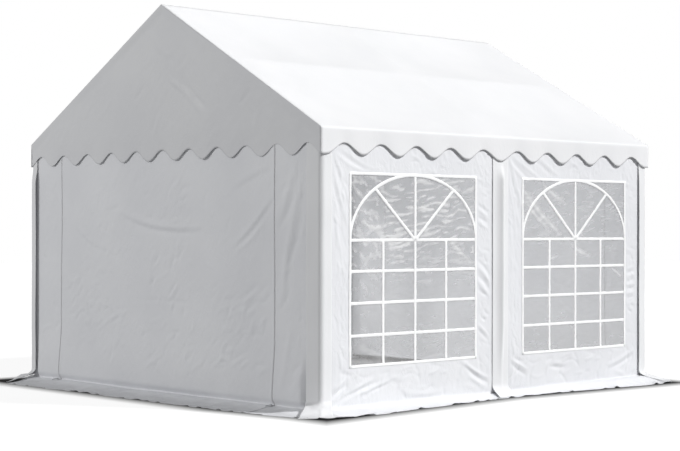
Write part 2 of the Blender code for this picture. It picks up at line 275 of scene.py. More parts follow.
def crumple(u, v, size, seed, angle=0.9, stretch=1.6):
    """Crumpled relief between about -1 and 1, stronger in some patches than in others."""
    along, across = turned_axes(u, v, angle)
    bent = along / stretch + 0.25 * size * smooth_noise(u, v, 2 * size, seed + 1)
    large = 2 * dents(bent, across, size, seed + 2) - 0.7
    small = 2 * dents(across, bent, 0.5 * size, seed + 3) - 0.7
    patches = 0.35 + 0.65 * ease(smooth_noise(u, v, 4 * size, seed + 4) + 0.5)
    return (large + 0.45 * small) * patches


def smooth_path(points, steps=4):
    """Points along a smooth curve through the given ones."""
    given = np.array(points, float)
    given = np.vstack([2 * given[0] - given[1], given, 2 * given[-1] - given[-2]])
    share = np.linspace(0, 1, steps, endpoint=False)[:, None]
    parts = []
    for before, start, end, after in zip(given, given[1:], given[2:], given[3:]):
        square = (2 * before - 5 * start + 4 * end - after) * share**2
        cube = (3 * start - before - 3 * end + after) * share**3
        parts.append(0.5 * (2 * start + (end - before) * share + square + cube))
    return np.concatenate([*parts, given[-2:-1]])


def metres(rows):
    """Folds or streaks from a table in millimetres."""
    return [(*np.array(row[:2]) / 1000, *np.reshape(row[2:], (-1, 2)) / 1000) for row in rows]


def add_folds(u, v, out, folds, strength=1.0, breadth=1.0, step=False):
    """Adds folds to the heights in out, which has a height for each u and v."""
    for height, width, *points in folds:
        width = width * breadth
        path = smooth_path(points)
        reach = (4.5 if step else 2.6) * width
        low, high = path.min(axis=0) - reach, path.max(axis=0) + reach
        near = (u > low[0]) & (u < high[0]) & (v > low[1]) & (v < high[1])
        if not near.any():
            continue
        x, y = u[near], v[near]
        runs = np.diff(path, axis=0)
        lengths = np.hypot(runs[:, 0], runs[:, 1])
        before = np.concatenate([[0.0], np.cumsum(lengths)])
        nearest, signed, share = np.full((3, len(x)), 9.0)
        for start, run, length, passed in zip(path, runs, lengths, before):
            away_x, away_y = x - start[0], y - start[1]
            along = np.clip((away_x * run[0] + away_y * run[1]) / length**2, 0, 1)
            away_x, away_y = away_x - along * run[0], away_y - along * run[1]
            distance = np.hypot(away_x, away_y)
            closer = distance < nearest
            side = np.sign(run[1] * away_x - run[0] * away_y)
            nearest = np.where(closer, distance, nearest)
            signed = np.where(closer, side * distance, signed)
            share = np.where(closer, (passed + along * length) / before[-1], share)
        across = signed / width
        if step:
            profile = np.tanh(1.6 * across) * np.exp(-np.abs(across) / 1.3)
        else:
            profile = np.exp(-(across**2))
        out[near] += strength * height * profile * np.sin(math.pi * share) ** 0.7


def random_folds(seed, count, area, angle, spread, length, width, height):
    """Short creases at random places in area, which is (left, right, bottom, top)."""
    draw = np.random.default_rng(seed)
    folds = []
    for _ in range(count):
        centre = np.array((draw.uniform(*area[:2]), draw.uniform(*area[2:])))
        turn = draw.normal(angle, spread)
        half = length * draw.uniform(0.5, 1.5) / 2
        along = half * np.array((math.cos(turn), math.sin(turn)))
        aside = draw.normal(0, 0.2) * np.array((-along[1], along[0]))
        fold_height = height * draw.uniform(0.4, 1.0) * draw.choice((-1, 1))
        points = (centre - along, centre + aside, centre + along)
        folds.append((fold_height, width * draw.uniform(0.7, 1.4), *points))
    return folds


def ruled(stops, spacing):
    """Values from the first stop to the last, about spacing apart, through every stop."""
    values = [np.array(stops[:1])]
    for low, high in zip(stops, stops[1:]):
        count = max(1, round((high - low) / spacing))
        values.append(np.linspace(low, high, count + 1)[1:])
    return np.concatenate(values)


def turned(points, quarters):
    """Points turned about +Z by quarter turns."""
    x, y = points[..., 0], points[..., 1]
    flat = ((x, y), (-y, x), (-x, -y), (y, -x))[quarters]
    return np.stack([*flat, points[..., 2]], axis=-1)


def stand(points, wall):
    """Points of a wall that faces -Y, brought to where the named wall stands."""
    if wall == "left":
        return turned(points, 1) * (-1, 1, 1)
    return turned(points, ("front", "right", "back").index(wall))


def on_wall(u, v, out, wall):
    """Points at u along a wall, v up and out from its face."""
    u, v, out = np.broadcast_arrays(u, v, out)
    return stand(np.stack([u, -(WALL_FACE + out), v], axis=-1), wall)


def mesh_of(name, points, faces):
    mesh = bpy.data.meshes.new(name)
    mesh.from_pydata(np.reshape(points, (-1, 3)).tolist(), [], faces)
    mesh.polygons.foreach_set("use_smooth", [True] * len(mesh.polygons))
    mesh.update()
    return mesh


def grid_mesh(name, points, wall="front", keep=None, values=None):
    """A smooth mesh over a grid of points, with its rows upwards and its columns along a wall.

    keep marks the cells that stay, and values become the points' attribute called streaks.
    """
    rows, columns = points.shape[:2]
    index = np.arange(rows * columns).reshape(rows, columns)
    cells = [index[:-1, :-1], index[:-1, 1:], index[1:, 1:], index[1:, :-1]]
    cells = np.stack(cells[::-1] if wall == "left" else cells, axis=-1)
    cells = cells.reshape(-1, 4) if keep is None else cells[keep]
    used, faces = np.unique(cells, return_inverse=True)
    mesh = mesh_of(name, points.reshape(-1, 3)[used], faces.reshape(-1, 4).tolist())
    if values is not None:
        streaks = mesh.attributes.new("streaks", "FLOAT", "POINT")
        streaks.data.foreach_set("value", values.reshape(-1)[used].astype(np.float32))
    return mesh


def add_piece(name, mesh, material, slot, *nodes):
    """A piece of the tent, which stands for these solids."""
    piece = bpy.data.objects.new(name, mesh)
    bpy.context.scene.collection.objects.link(piece)
    mesh.materials.append(material)
    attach(piece, "root")
    if nodes:
        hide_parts(*nodes)
    return piece


def thicken(piece, thickness, offset=-1.0):
    """Gives a sheet its thickness, behind its face unless offset says otherwise."""
    solid = piece.modifiers.new("thickness", "SOLIDIFY")
    solid.thickness = thickness
    solid.offset = offset


def add_sheet(name, mesh, material, slot, nodes, thickness=PVC, held="hung", **cut):
    """A sheet that stands for these solids; the size it was cut to and what it rests on are not
    used.
    """
    piece = add_piece(name, mesh, material, slot, *nodes)
    if thickness:
        thicken(piece, thickness)


def set_inputs(node, inputs):
    """Sets a node's sockets, by values or by links from other nodes' sockets."""
    for key, value in inputs.items():
        if isinstance(value, bpy.types.NodeSocket):
            node.id_data.links.new(value, node.inputs[key])
        else:
            node.inputs[key].default_value = value


def add_node(source, kind, inputs=None, **settings):
    """A shader node in the tree that source belongs to."""
    made = source.id_data.nodes.new(kind)
    for key, value in settings.items():
        setattr(made, key, value)
    set_inputs(made, inputs or {})
    return made


def new_material(name):
    """(material, its Principled shader, object coordinates)."""
    material = bpy.data.materials.new(name)
    material.use_nodes = True
    shader = material.node_tree.nodes["Principled BSDF"]
    return material, shader, add_node(shader, "ShaderNodeTexCoord").outputs["Object"]


def split(place):
    """The X, Y and Z of coordinates."""
    return tuple(add_node(place, "ShaderNodeSeparateXYZ", {0: place}).outputs)


def grey(value):
    """A grey as bright as the value."""
    return add_node(value, "ShaderNodeCombineXYZ", dict.fromkeys(range(3), value)).outputs[0]


def noise(place, scale, detail=2.0, distortion=0.0):
    inputs = {"Vector": place, "Scale": scale, "Detail": detail, "Distortion": distortion}
    return add_node(place, "ShaderNodeTexNoise", inputs).outputs["Fac"]


def remap(value, from_low, from_high, to_low=0.0, to_high=1.0):
    limits = {"From Min": from_low, "From Max": from_high, "To Min": to_low, "To Max": to_high}
    return add_node(value, "ShaderNodeMapRange", {"Value": value, **limits}).outputs["Result"]


def combine(operation, first, second):
    source = first if isinstance(first, bpy.types.NodeSocket) else second
    return add_node(source, "ShaderNodeMath", {0: first, 1: second}, operation=operation).outputs[0]


def blend_colours(share, low, high):
    inputs = {"Factor": share, 6: (*low, 1.0), 7: (*high, 1.0)}
    return add_node(share, "ShaderNodeMix", inputs, data_type="RGBA").outputs[2]


def bump(height, distance, strength=1.0, **normal):
    inputs = {"Height": height, "Distance": distance, "Strength": strength, **normal}
    return add_node(height, "ShaderNodeBump", inputs).outputs["Normal"]


def scaled(place, scale, turn=(0.0, 0.0, 0.0)):
    inputs = {"Vector": place, "Scale": scale, "Rotation": turn}
    return add_node(place, "ShaderNodeMapping", inputs).outputs["Vector"]


def weave(place):
    """Fine crossed threads that show through the coating."""
    x, y, z = split(place)
    flat = add_node(place, "ShaderNodeCombineXYZ", {0: combine("ADD", x, y), 2: z}).outputs[0]
    inputs = {"Vector": flat, "Scale": 170.0, "Distortion": 0.2}
    waves = (add_node(flat, "ShaderNodeTexWave", inputs, bands_direction=way) for way in "XZ")
    return combine("MULTIPLY", *(wave.outputs["Fac"] for wave in waves))


def line_noise(place, scale, width):
    """Thin lines, 1 along them and 0 away, where a noise crosses its middle value."""
    value = combine("SUBTRACT", noise(place, scale, 1.5, 0.8), 0.5)
    return remap(combine("ABSOLUTE", value, 0.0), 0.0, width, 1.0, 0.0)


def pvc_material(name, low, high, creasing):
    """Coated PVC: slow changes of tone, painted shade on the end flaps and low on the walls,
    creases, threads and soft gloss.
    """
    material, shader, place = new_material(name)
    _, y, z = split(place)
    # Painted shade: the end flaps darker towards their hems, the walls darker from 0.6 m down to
    # just above their fold to the flap
    inwards = combine("SUBTRACT", WALL_FACE + 0.01, combine("ABSOLUTE", y, 0.0))
    wander = remap(noise(place, 5.0, 3.0), 0.3, 0.7, -0.008, 0.008)
    height = combine("ADD", combine("MAXIMUM", z, inwards), wander)
    low_down = remap(z, 0.1, 0.6, LOW_WALL_PAINTED_SHADE, 1.0)
    low_down = combine("MAXIMUM", low_down, remap(z, 0.045, 0.075, 1.0, 0.9))
    painted_shade = grey(combine("MULTIPLY", remap(height, 0.014, 0.034, FLAP_PAINTED_SHADE, 1.0), low_down))
    clean = blend_colours(remap(noise(place, 1.4, 4.0), 0.35, 0.65), low, high)
    inputs = {"Factor": 1.0, 6: clean, 7: painted_shade}
    with_painted_shade = add_node(place, "ShaderNodeMix", inputs, data_type="RGBA", blend_type="MULTIPLY")
    leaning = scaled(place, (1.0, 1.0, 0.6), (0.5, 0.35, 0.0))
    patches = remap(noise(place, 2.6), 0.42, 0.58, 0.2, 1.0)
    lines = combine("MULTIPLY", line_noise(leaning, 15.0, 0.05), patches)
    inputs = {"Vector": leaning, "Scale": 34.0}
    facets = add_node(place, "ShaderNodeTexVoronoi", inputs, feature="SMOOTH_F1")
    facets = combine("MULTIPLY", facets.outputs["Distance"], patches)
    normal = bump(facets, 0.0028, creasing, Normal=bump(weave(place), 0.00004))
    set_inputs(shader, {
        "Base Color": with_painted_shade.outputs[2],
        "Roughness": remap(noise(place, 9.0, 3.0), 0.3, 0.7, 0.42, 0.58),
        "Normal": bump(lines, 0.0014, creasing, Normal=normal),
        "Specular IOR Level": 0.2,
    })
    return material


def film_material():
    """Cloudy clear film: see-through and glossy, with painted reflections along its creases, and
    cloudier towards its foot.
    """
    material, shader, place = new_material("window_film")
    streaks = add_node(place, "ShaderNodeAttribute", attribute_name="streaks").outputs["Fac"]
    fine = remap(noise(scaled(place, (1.0, 1.0, 2.5)), 10.0), 0.3, 0.7, 0.55, 1.25)
    # The film really ripples along the streaks, and the paleness there is a painted reflection,
    # strongest in the upper part of the front bays' windows
    streaks = combine("MULTIPLY", combine("MULTIPLY", streaks, fine), 0.50)
    cloud_low = remap(split(place)[2], 0.35, 0.95, 0.07, 0.0)
    cloud = combine("ADD", remap(noise(place, 3.0, 3.0), 0.3, 0.7, 0.21, 0.26), cloud_low)
    waves = scaled(place, (0.6, 0.6, 1.6), (0.35, 0.3, 0.0))
    set_inputs(shader, {
        "Base Color": (0.81, 0.81, 0.812, 1.0),
        "Alpha": combine("ADD", cloud, streaks),
        "Roughness": remap(noise(place, 12.0), 0.3, 0.7, 0.12, 0.24),
        "Normal": bump(noise(waves, 5.0, 2.0, 0.6), 0.006, 0.5),
    })
    return material


def tape_material():
    """The bright welded tape of the window frames and glazing bars."""
    material, shader, place = new_material("window_tape")
    tone = remap(noise(place, 30.0, 3.0), 0.3, 0.7)
    set_inputs(shader, {
        "Base Color": blend_colours(tone, (0.93, 0.935, 0.94), (0.97, 0.97, 0.97)),
        "Roughness": remap(tone, 0.0, 1.0, 0.35, 0.5),
        "Normal": bump(noise(place, 120.0, 3.0), 0.0006, 0.5),
    })
    return material


def zip_material():
    """Grey plastic zip teeth."""
    material, shader, place = new_material("zip_teeth")
    inputs = {"Vector": place, "Scale": 70.0}
    teeth = add_node(place, "ShaderNodeTexWave", inputs, bands_direction="Z").outputs["Fac"]
    set_inputs(shader, {
        "Base Color": blend_colours(teeth, (0.56, 0.56, 0.57), (0.74, 0.74, 0.75)),
        "Roughness": remap(teeth, 0.0, 1.0, 0.6, 0.35),
        "Normal": bump(teeth, 0.001),
    })
    return material


def steel_material(name, low, high):
    """Galvanised steel, with its spangle and duller patches."""
    material, shader, place = new_material(name)
    spangle = add_node(place, "ShaderNodeTexVoronoi", {"Vector": place, "Scale": 90.0})
    tone = combine("MULTIPLY", spangle.outputs["Distance"], 1.2)
    dull = remap(noise(place, 8.0, 4.0), 0.35, 0.65)
    share = combine("MULTIPLY", combine("ADD", tone, dull), 0.5)
    set_inputs(shader, {
        "Base Color": blend_colours(share, low, high),
        "Metallic": 0.85,
        "Roughness": remap(dull, 0.0, 1.0, 0.32, 0.5),
        "Normal": bump(tone, 0.0002, 0.4),
    })
    return material


def roof_height(x):
    """Height of the roof's slope, flat between ridge and eave."""
    return RIDGE_HEIGHT - np.abs(x) * SLOPE_TAN


def wave_edge(phase):
    """Height of the scalloped edge: a notch at whole phases, a wave bottom between."""
    middle = (NOTCH_DROP + WAVE_DROP) / 2
    swing = (WAVE_DROP - NOTCH_DROP) / 2
    return EAVE_HEIGHT - middle + swing * np.cos(2 * math.pi * phase)


def side_phase(u):
    """The side's waves start from a wider one at the middle and end level at the corner."""
    past_first = np.abs(u) - SIDE_FIRST_NOTCH
    pitch = np.where(past_first > 0, SIDE_PITCH, 2 * SIDE_FIRST_NOTCH)
    return np.minimum(past_first / pitch, SIDE_WAVES)


def valance_out(u, fall, phase, seed):
    """How far the valance stands out: fall is 0 at the eave and 1 at its edge."""
    corner = ease((HALF_WIDTH - 0.12 - np.abs(u)) / 0.15)
    bulge = 0.5 - 0.5 * np.cos(2 * math.pi * phase)
    drift = smooth_noise(u, 0 * u, 0.15, seed)
    slow = smooth_noise(u, 0.2 + 0 * u, 0.4, seed + 1)
    out = 0.004 * bulge + 0.002 * drift + 0.0015 * slow - VALANCE_LEAN
    return corner * np.clip(fall, 0, 1) ** 1.2 * out


def sagging(x, y, seed):
    """How far the roof sheet hangs between the tubes that carry it."""
    bay_middle = HALF_LENGTH / 2 * 0.98
    from_middle = np.abs(np.abs(y) - bay_middle) / bay_middle
    bay = np.clip(1 - from_middle**3, 0, 1)
    inner = x < PURLIN_X
    start = np.where(inner, 0.0, PURLIN_X)
    span = np.where(inner, PURLIN_X, HALF_WIDTH - PURLIN_X)
    share = (x - start) / span
    hang = np.clip(4 * share * (1 - share), 0, 1)
    ripple = 0.003 * smooth_noise(y, x, 0.24, seed) + 0.0012 * crumple(y, x, 0.1, seed + 1)
    return hang * bay * (ROOF_SAG - ripple)


def roof_half(y, seed):
    """(x, z) rows from the ridge to the scalloped edge, over the places y along the ridge."""
    slope_x = ruled([0.0, 0.03, PURLIN_X, HALF_WIDTH - EAVE_RADIUS], 0.035)[:, None]
    slope_z = roof_height(slope_x) - sagging(slope_x + 0 * y, y + 0 * slope_x, seed)
    radius = EAVE_RADIUS / (1 - math.sin(SLOPE))
    centre_x = HALF_WIDTH - radius
    centre_z = roof_height(slope_x[-1, 0]) - radius * math.cos(SLOPE)
    turn = (math.pi / 2 - SLOPE) * np.linspace(1, 0, 5)[1:, None]
    fall = np.linspace(0, 1, 11)[1:, None]
    phase = side_phase(y)
    edge = wave_edge(phase)
    valance_x = HALF_WIDTH + valance_out(y, fall, phase, seed)
    valance_z = centre_z + (edge - centre_z) * fall
    bend_x, bend_z = centre_x + radius * np.cos(turn), centre_z + radius * np.sin(turn)
    x = np.concatenate([slope_x + 0 * y, bend_x + 0 * y, valance_x])
    z = np.concatenate([slope_z, bend_z + 0 * y, valance_z])
    return x, z


def make_roof(material):
    """One sheet from valance to valance over the ridge."""
    y = ruled([-HALF_LENGTH, 0.0, HALF_LENGTH], 0.025)
    right_x, right_z = roof_half(y, 11)
    left_x, left_z = roof_half(y, 23)
    x = np.concatenate([-left_x[::-1], right_x[1:]])
    z = np.concatenate([left_z[::-1], right_z[1:]])
    points = np.stack([x, y + 0 * x, z], axis=-1)
    nodes = ("roof_left", "roof_right", "valance_left", "valance_right")
    mesh = grid_mesh("roof_sheet", points, "left")
    slope_length = math.hypot(HALF_WIDTH, RIDGE_HEIGHT - EAVE_HEIGHT)
    add_sheet(
        "roof_sheet", mesh, material, "cover", nodes, COVER_SHEET, "stretched",
        flat=(2 * HALF_LENGTH, 2 * (slope_length + WAVE_DROP)),
        area=4 * HALF_LENGTH * (slope_length + (NOTCH_DROP + WAVE_DROP) / 2),
        rests_on=["rafter_front_right", "rafter_middle_right", "purlin_front_right"],
    )


def make_gable(wall, seed, spacing, material):
    """The upright triangle of one end with its scalloped valance."""
    half = HALF_WIDTH - 0.001
    u = ruled([-half, 0.0, half], spacing)
    phase = np.abs(u) / GABLE_PITCH
    low = wave_edge(phase)
    high = roof_height(u) - 0.0005
    share = ruled([0.0, 0.12, 1.0], 0.016)[:, None]
    v = low + (high - low) * share
    u_grid = u + 0 * v
    fall = np.clip((EAVE_HEIGHT + 0.02 - v) / (EAVE_HEIGHT + 0.02 - low), 0, 1)
    relief = 0.0011 * crumple(u_grid, v, 0.07, seed) + 0.004 * smooth_noise(u_grid, v, 0.5, seed)
    add_folds(MIRROR[wall] * u_grid, v, relief, metres(GABLE_FOLDS))
    area = (-1.4, 1.4, 2.15, 3.0)
    add_folds(u_grid, v, relief, random_folds(seed, 30, area, 1.2, 0.5, 0.16, 0.013, 0.0022))
    inside = ease((roof_height(u_grid) - v) / 0.10)
    out = HALF_LENGTH - WALL_FACE + inside * (relief - GABLE_DEPTH)
    points = on_wall(u_grid, v, out + valance_out(u_grid, fall, phase, seed + 5), wall)
    node = "gable_" + wall
    rise = RIDGE_HEIGHT - EAVE_HEIGHT
    add_sheet(
        node + "_sheet", grid_mesh(node, points), material, "cover", [node], COVER_SHEET,
        flat=(2 * HALF_WIDTH, rise + WAVE_DROP),
        area=HALF_WIDTH * (rise + NOTCH_DROP + WAVE_DROP),
        rests_on=["roof_sheet"],
    )


def window_span(end_name, wall):
    """(left, right, bottom, top) of a window's opening along its wall, under its frame."""
    low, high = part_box(f"window_{end_name}_{wall}")
    inset, lift = FRAME_INSETS[end_name], FRAME_LIFTS
    left, right = low.y + FILM_OVERLAP + inset[0], high.y - FILM_OVERLAP - inset[1]
    return left, right, low.z + FILM_OVERLAP + lift[0], high.z - FILM_OVERLAP + lift[1]


def inside_window(u, v, span):
    """1 well inside a window and 0 at its edges."""
    left, right, bottom, top = span
    across = ease((u - left) / 0.06) * ease((right - u) / 0.06)
    return across * ease((v - bottom) / 0.06) * ease((top - v) / 0.06)


def foot_bulge(u, v, size, drop, seed):
    """How far a wall swells out just above the fold to its ground flap."""
    own = size * (1 + 0.2 * smooth_noise(u, 0 * u, 0.45, seed))
    above = v + np.interp(u, *drop)
    return own * ease((above - 0.062) / 0.062) * (1 - ease((above - 0.124) / 0.45))


def side_relief(u, v, wall, seed):
    """Folds of a side wall, which the film and the glazing bars follow as well."""
    relief = 0.0009 * crumple(u, v, 0.07, seed) + 0.003 * smooth_noise(u, v, 0.4, seed)
    main = 0 * relief
    add_folds(MIRROR[wall] * u, v, main, metres(SIDE_FOLDS), 0.5, 0.8)
    relief = relief + main * (1 + 0.9 * ease((0.42 - v) / 0.1) - 0.4 * ease((v - 1.75) / 0.1))
    for left, right in ((-1.86, 0.0), (0.1, 1.95)):
        margins = (
            ((left, left + 0.16, 0.3, 1.8), 1.75, 0.3, 0.14, 0.010, 0.0033),
            ((right - 0.25, right - 0.12, 0.25, 1.9), 2.6, 0.4, 0.09, 0.010, 0.0033),
            ((left, right - 0.1, 0.08, 0.32), 0.5, 1.0, 0.14, 0.013, 0.006),
            ((left + 0.15, right - 0.1, 1.84, 2.05), -0.5, 0.9, 0.12, 0.010, 0.0033),
        )
        for number, margin in enumerate(margins):
            add_folds(u, v, relief, random_folds(seed + 20 + number, 40, *margin))
    held = ease((WALL_FACE - np.abs(u) - 0.10) / 0.05) * ease((np.abs(u - 0.005) - 0.09) / 0.05)
    edges = ease((WALL_TOP - v) / 0.08) * ease((v - 0.035) / 0.05)
    swell = foot_bulge(u, v, 0.005, SIDE_DROP, seed + 9)
    return (relief * (0.25 + 0.75 * held) + swell * held) * edges


def foot_rows(u, hem, drop, flap_ends, lift, seed):
    """(u, out, height) rows from a ground flap's hem up to FOOT_START on the wall.

    flap_ends says how far the flap runs past its wall panel's left and right ends, where less
    than nothing draws it in evenly. None stands for a corner, where it widens with its distance
    from the wall and is then cut off across.
    """
    path = [(0.0, out, height) for out, height in FOOT_PATH]
    path += [(share, 0.0, height) for share, height in FLAP_PATH]
    edge = [(share, 0.0, height) for share, height in HEM_PATH]
    path = np.concatenate([smooth_path(path, 2), edge])[::-1]
    share, out, height = path.T[:, :, None]
    fold_height, lowest = FOOT_PATH[-1][1], HEM_PATH[-1][1]
    past_fold = np.clip((height - lowest) / (fold_height - lowest), 0, 1)
    below_start = np.clip((FOOT_START - height) / (FOOT_START - fold_height), 0, 1)
    height = height - np.interp(u, *drop) * past_fold * below_start
    reach = np.interp(u, *hem) + 0.012 * smooth_noise(u, 0 * u, 0.1, seed)
    reach = reach + 0.010 * smooth_noise(u, 0.3 + 0 * u, 0.27, seed + 1)
    out = out + share * reach
    widen = np.minimum(out, 2 * FLAP_CORNER - out)
    ends = []
    for number, side in ((0, -1), (-1, 1)):
        past = flap_ends[number]
        if past is None:
            grow = widen
        else:
            grow = past * (out / 0.3 if past < 0 else ease(out / 0.05))
        ends.append(u[number] + side * grow)
    along = (u - u[0]) / (u[-1] - u[0])
    u_rows = ends[0] + (ends[1] - ends[0]) * along
    flat = ease(share / 0.3)
    raised = 0.018 * np.clip(smooth_noise(u, 0 * u, 0.065, seed + 2) - 0.1, 0, 1) * share**4
    swell = 0.006 * smooth_noise(u_rows, out, 0.2, seed + 3) * np.sin(math.pi * share)
    creases = 0.0018 * crumple(u_rows, out, 0.07, seed + 4) * flat * ease((1 - share) / 0.1)
    fold = 0.006 * smooth_noise(u, 0 * u, 0.5, seed + 6) * (1 - share)
    height = height + raised + swell + creases + fold
    return u_rows, out, np.maximum(height - lift * ease(share / 0.1), 0.0025)


def wall_mesh(name, wall, u, relief, foot, spacing, stops=(), keep_at=None):
    """A mesh that runs from a wall's top down over its ground flap to the hem."""
    foot_u, foot_out, foot_v = foot
    v = ruled([FOOT_START, *stops, WALL_TOP], spacing)[1:, None]
    upper_u, upper_v = np.broadcast_arrays(u, v)
    all_u = np.concatenate([foot_u, upper_u])
    all_v = np.concatenate([foot_v, upper_v])
    out = np.concatenate([foot_out, 0 * upper_v]) + relief(all_u, all_v)
    keep = None
    if keep_at is not None:
        keep = keep_at((all_u[1:, 1:] + all_u[:-1, :-1]) / 2, (all_v[1:, 1:] + all_v[:-1, :-1]) / 2)
    return grid_mesh(name, on_wall(all_u, all_v, out, wall), wall, keep)


def make_side_wall(wall, end_name, seed, spacing, materials):
    """One bay: the wall and its flap with the window cut through, its film and glazing bars."""
    span = left, right, bottom, top = window_span(end_name, wall)
    far, middle = WALL_FACE - PANEL_INSET, 0.0004
    ends = (-far, -middle) if end_name == "front" else (middle, far)
    near_corner = None if wall == "right" else 0.0
    flap_ends = (near_corner, -0.001) if end_name == "front" else (-0.001, None)

    def relief(u, v):
        return side_relief(u, v, wall, seed)

    def keep_at(u, v):
        return ~((u > left) & (u < right) & (v > bottom) & (v < top))

    beside = 0.65 * spacing
    parts = ([ends[0], left], beside), ([left, right], spacing), ([right, ends[1]], beside)
    u = np.unique(np.concatenate([ruled(stops, fine) for stops, fine in parts]).round(6))
    node = f"side_wall_{end_name}_{wall}"
    foot = foot_rows(u, SIDE_HEM, SIDE_DROP, flap_ends, 0.0, seed + 3)
    mesh = wall_mesh(node, wall, u, relief, foot, 0.8 * spacing, (bottom, top), keep_at)
    add_sheet(
        node + "_sheet", mesh, materials["wall"], "wall", (node, "ground_flap_" + wall),
        flat=(far, WALL_TOP + SIDE_HEM[1][0]),
        area=far * (WALL_TOP + 0.2) - (right - left) * (top - bottom),
        rests_on=[f"eave_rail_{end_name}_{wall}"],
    )
    make_film(end_name, wall, span, seed, materials["film"], node + "_sheet")
    make_bars(end_name, wall, span, seed, materials["tape"])


def film_streaks(u, v, end_name, seed):
    """Painted reflections on the film, which follow its creases: ripples in its upper part and
    longer bands.
    """
    along, across = turned_axes(u, v, 0.12)
    swing = smooth_noise(along / 1.6, across, 0.09, seed + 60)
    wave = np.sin(math.tau * (across + 0.028 * swing) / 0.046)
    ripples = 0.4 * wave + 0.9 * smooth_noise(along / 3.2, across, 0.024, seed + 61)
    left_lean = smooth_noise((u - v) / 2.5, (v + u) / 1.4, 0.026, seed + 63)
    leans = ease((-1.15 - u) / 0.3)
    ripples = ripples * (1 - 0.8 * leans) + 1.1 * left_lean * leans
    if end_name == "front":
        upper = 0.10 + 0.90 * ease((v - 0.85) / 0.5)
    else:
        upper = 0.06 + 0.24 * ease((v - 1.0) / 0.5)
    patches = 0.6 + 0.4 * ease(smooth_noise(u, v, 0.3, seed + 64) + 0.5)
    streaks = ease((ripples + 0.05) / 0.6) * upper * patches
    add_folds(u, v, streaks, metres(FILM_STREAKS))
    return streaks


def make_film(end_name, wall, span, seed, material, wall_name):
    """The film welded behind a window's opening."""
    left, right, bottom, top = span
    spacing = 0.0085 if wall == "right" else 0.012
    u = ruled([left - FILM_OVERLAP, right + FILM_OVERLAP], 2 * spacing)
    v = ruled([bottom - FILM_OVERLAP, top + FILM_OVERLAP], spacing)[:, None]
    u, v = u + 0 * v, v + 0 * u
    streaks = film_streaks(u, v, end_name, seed)
    inside = inside_window(u, v, span)
    out = side_relief(u, v, wall, seed) * (1 - 0.8 * inside)
    out = out - PVC - FILM_RIPPLE + FILM_RIPPLE * streaks * inside
    node = f"window_{end_name}_{wall}"
    mesh = grid_mesh(node, on_wall(u, v, out, wall), wall, values=streaks)
    add_sheet(
        node + "_film", mesh, material, "window_film", [node], 0, "stretched",
        flat=(right - left + 2 * FILM_OVERLAP, top - bottom + 2 * FILM_OVERLAP),
        rests_on=[wall_name],
    )


def ribbon(path, width, lift, seed):
    """(points, faces) of a tape with a low round back along a path of (u, v) points."""
    path = np.array(path, float)
    run = np.gradient(path, axis=0)
    run = run / np.linalg.norm(run, axis=1, keepdims=True)
    aside = np.stack([-run[:, 1], run[:, 0]], axis=-1)
    steps = np.arange(len(path)) * 0.02
    wobble = 1 + 0.08 * smooth_noise(steps, 0 * steps, 0.05, seed)
    shape = ((-0.5, -0.6), (-0.5, 0.4), (-0.3, 0.9), (0.3, 0.9), (0.5, 0.4), (0.5, -0.6))
    rings = []
    for share, height in shape:
        flat = path + aside * (share * width * wobble)[:, None]
        rings.append(np.column_stack([flat, np.full(len(path), lift + height * BAR_THICKNESS)]))
    points = np.stack(rings, axis=1)
    index = np.arange(len(path) * len(shape)).reshape(len(path), -1)
    after = np.roll(index, -1, axis=1)
    sides = np.stack([index[:-1], after[:-1], after[1:], index[1:]], axis=-1).reshape(-1, 4)
    return points.reshape(-1, 3), [*sides.tolist(), index[0, ::-1].tolist(), index[-1].tolist()]


def straight(start, end, spacing=0.02):
    start, end = np.array(start, float), np.array(end, float)
    count = max(2, round(np.linalg.norm(end - start) / spacing) + 1)
    return start + (end - start) * np.linspace(0, 1, count)[:, None]


def bar_paths(span):
    """(path, width, lift) of the frame's four sides and of each glazing bar."""
    left, right, bottom, top = span
    centre, half = (left + right) / 2, (right - left) / 2
    spring, edge = BAR_HEIGHTS[0], 0.45 * FRAME_WIDTH
    paths = []
    for u in (left, right):
        paths.append((straight((u, bottom - edge), (u, top + edge)), FRAME_WIDTH, 0.0016))
    levels = [(v, FRAME_WIDTH, 0.0008) for v in (bottom, top)]
    for v, *sizes in levels + [(v, BAR_WIDTH, -0.0004) for v in BAR_HEIGHTS]:
        paths.append((straight((left, v), (right, v)), *sizes))
    for share in BAR_SHARES:
        u = centre + share * half
        high = spring if share else top
        paths.append((straight((u, bottom), (u, high)), BAR_WIDTH, 0.0003))
    angles = np.linspace(0, math.pi, 61)
    rise = top - spring
    arch = np.column_stack([centre + half * np.cos(angles), spring + rise * np.sin(angles)])
    paths.append((arch, BAR_WIDTH, 0.0011))
    spoke_rise = rise * math.sqrt(1 - SPOKE_SHARE**2)
    for side in (-1, 1):
        tip = (centre + side * half * SPOKE_SHARE, spring + spoke_rise)
        paths.append((straight((centre, spring), tip), BAR_WIDTH, 0.0006))
    return paths


def make_bars(end_name, wall, span, seed, material):
    """The frame and the glazing bars of one window, welded on over the film."""
    points, faces, first = [], [], 0
    for number, (path, width, lift) in enumerate(bar_paths(span)):
        own_points, own_faces = ribbon(path, width, lift, seed + 40 + number)
        points.append(own_points)
        turn = -1 if wall == "left" else 1
        faces += [tuple(first + i for i in face)[::turn] for face in own_faces]
        first += len(own_points)
    u, v, out = np.concatenate(points).T
    relief = side_relief(u, v, wall, seed) * (1 - 0.8 * inside_window(u, v, span))
    name = f"window_bars_{end_name}_{wall}"
    add_piece(name, mesh_of(name, on_wall(u, v, out + relief, wall), faces), material, "wall")


